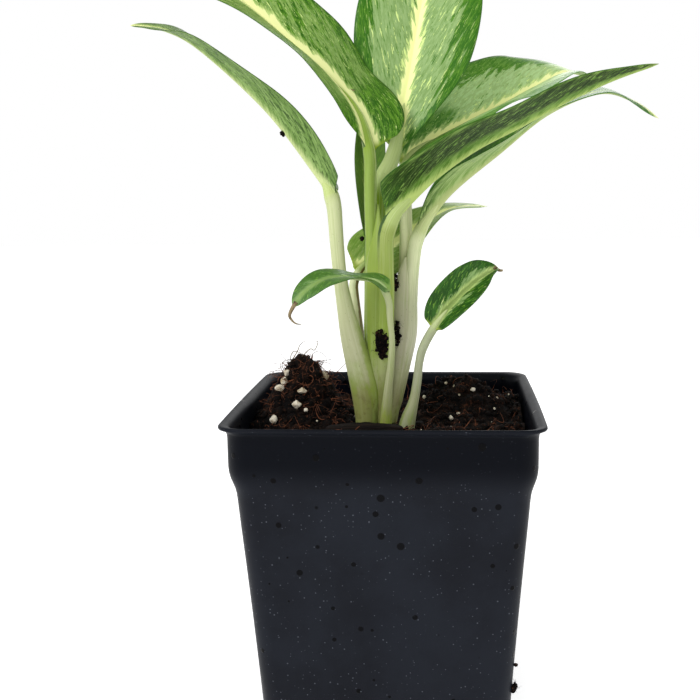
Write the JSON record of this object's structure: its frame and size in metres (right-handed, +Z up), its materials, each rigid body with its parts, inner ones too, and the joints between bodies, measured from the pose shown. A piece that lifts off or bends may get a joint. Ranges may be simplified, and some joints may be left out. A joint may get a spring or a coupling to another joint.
{
  "type": "potted chinese evergreen",
  "caption": "Young variegated foliage plant with long-stalked pointed leaves, rooted in dark potting soil in a flared square black nursery pot.",
  "frame": {"origin": "centre of the pot's base, on the surface that the pot stands on", "axes": "+Z up along the pot and the plant, +X to the right, +Y to the back"},
  "size_m": [0.1825, 0.1032, 0.274],
  "materials": {
    "pot": "dark blue-black moulded plastic, semi-matt, lightly dusty with dried water specks",
    "soil": "moist coir and peat mix, crumbly and fibrous",
    "perlite": "dry, rough, white",
    "bark": "rough reddish-brown bark",
    "stem": "pale green plant stem, browning at its base",
    "stalk_pale": "smooth cream-green leaf stalk, satin",
    "stalk_green": "smooth yellow-green leaf stalk, satin",
    "blade": "waxy living leaf, dark green with a silvery field and a cream-yellow feathered midrib"
  },
  "bodies": {
    "root": {"pot": "pot", "potting_soil": "soil", "stem_base": "stem", "stalk_left": "stalk_pale", "stalk_upper_left": "stalk_green", "stalk_upright": "stalk_green", "stalk_right_front": "stalk_green", "stalk_right_lower": "stalk_pale", "stalk_right_back": "stalk_pale", "stalk_behind_upright": "stalk_green", "stalk_behind_right": "stalk_green", "stalk_small_left": "stalk_pale", "stalk_small_right": "stalk_pale", "blade_left": "blade", "blade_upper_left": "blade", "blade_upright": "blade", "blade_right_front": "blade", "blade_right_lower": "blade", "blade_right_back": "blade", "blade_behind_upright": "blade", "blade_behind_right": "blade", "blade_small_left": "blade", "blade_small_right": "blade", "bark_strip": "bark", "perlite_1": "perlite", "perlite_2": "perlite", "perlite_3": "perlite", "perlite_4": "perlite", "perlite_5": "perlite", "perlite_6": "perlite", "perlite_7": "perlite", "perlite_8": "perlite"}
  },
  "joints": []
}
